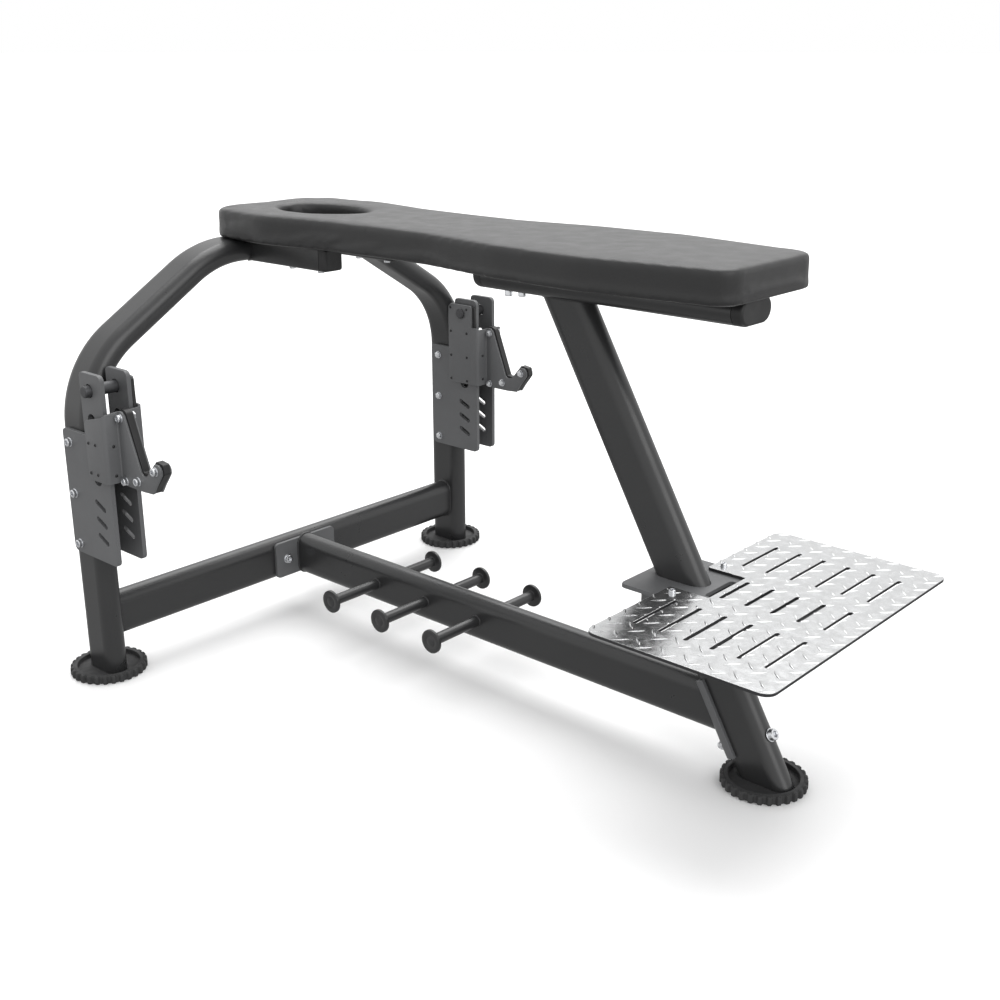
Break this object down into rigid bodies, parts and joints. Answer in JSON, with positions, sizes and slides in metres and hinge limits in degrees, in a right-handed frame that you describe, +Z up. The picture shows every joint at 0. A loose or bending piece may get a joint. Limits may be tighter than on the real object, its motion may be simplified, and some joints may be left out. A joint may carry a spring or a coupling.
{
  "type": "hip thrust machine",
  "caption": "Prone pull bench: long padded top with a face hole on a bent arch and a leaning post, swing-up bar hooks on both legs, band pegs and a raised tread plate.",
  "frame": {"origin": "on the floor, at the middle of the whole machine's box", "axes": "+X from the head end to the foot plate, +Y to the right of someone lying face down on the pad with the head over the face hole, +Z up"},
  "size_m": [1.598, 1.256, 0.974],
  "materials": {
    "frame": "charcoal semi-gloss powder coat",
    "bracket": "grey-black matt powder coat",
    "rubber": "black moulded rubber",
    "plastic": "black moulded plastic",
    "vinyl": "black grained vinyl over foam",
    "board": "plain plywood",
    "checker_plate": "bright tread plate",
    "zinc": "bright zinc plating",
    "pin_steel": "dark oxide steel"
  },
  "bodies": {
    "machine": {"arch_tube": "frame", "crossbar": "frame", "spine_front_flange": "bracket", "left_flange_bolt": "zinc", "right_flange_bolt": "zinc", "spine_tube": "frame", "spine_rear_saddle": "bracket", "rear_post": "frame", "post_bolt": "zinc", "pad_rail": "frame", "rail_front_cap": "plastic", "rail_rear_cap": "plastic", "left_head_support": "frame", "right_head_support": "frame", "left_support_cap": "plastic", "right_support_cap": "plastic", "pad_board": "board", "pad_cushion": "vinyl", "foot_plate": "checker_plate", "foot_plate_bracket": "bracket", "left_foot": "rubber", "right_foot": "rubber", "rear_foot": "rubber", "left_band_peg_1": "frame", "left_band_peg_2": "frame", "left_band_peg_3": "frame", "right_band_peg_1": "frame", "right_band_peg_2": "frame", "right_band_peg_3": "frame", "left_outer_guide_plate": "bracket", "left_inner_guide_plate": "bracket", "left_guide_bolt_1": "zinc", "left_guide_bolt_2": "zinc", "left_guide_bolt_3": "zinc", "right_outer_guide_plate": "bracket", "right_inner_guide_plate": "bracket", "right_guide_bolt_1": "zinc", "right_guide_bolt_2": "zinc", "right_guide_bolt_3": "zinc"},
    "left_hook": {"left_hook_outer_sheet": "bracket", "left_hook_inner_sheet": "bracket", "left_hook_outer_liner": "plastic", "left_hook_inner_liner": "plastic", "left_hook_core": "plastic", "left_lock_pin": "pin_steel", "left_hook_bolt_1": "zinc", "left_hook_bolt_2": "zinc", "left_hook_bolt_3": "zinc", "left_hook_bolt_4": "zinc"},
    "right_hook": {"right_hook_outer_sheet": "bracket", "right_hook_inner_sheet": "bracket", "right_hook_outer_liner": "plastic", "right_hook_inner_liner": "plastic", "right_hook_core": "plastic", "right_lock_pin": "pin_steel", "right_hook_bolt_1": "zinc", "right_hook_bolt_2": "zinc", "right_hook_bolt_3": "zinc", "right_hook_bolt_4": "zinc"}
  },
  "joints": [
    {"name": "left_hook_swing", "type": "hinge", "parent": "machine", "child": "left_hook", "pos_m": [-0.623, -0.546, 0.657], "axis": [0, -1, 0], "range_deg": [0, 110]},
    {"name": "right_hook_swing", "type": "hinge", "parent": "machine", "child": "right_hook", "pos_m": [-0.623, 0.546, 0.657], "axis": [0, -1, 0], "range_deg": [0, 110]}
  ]
}
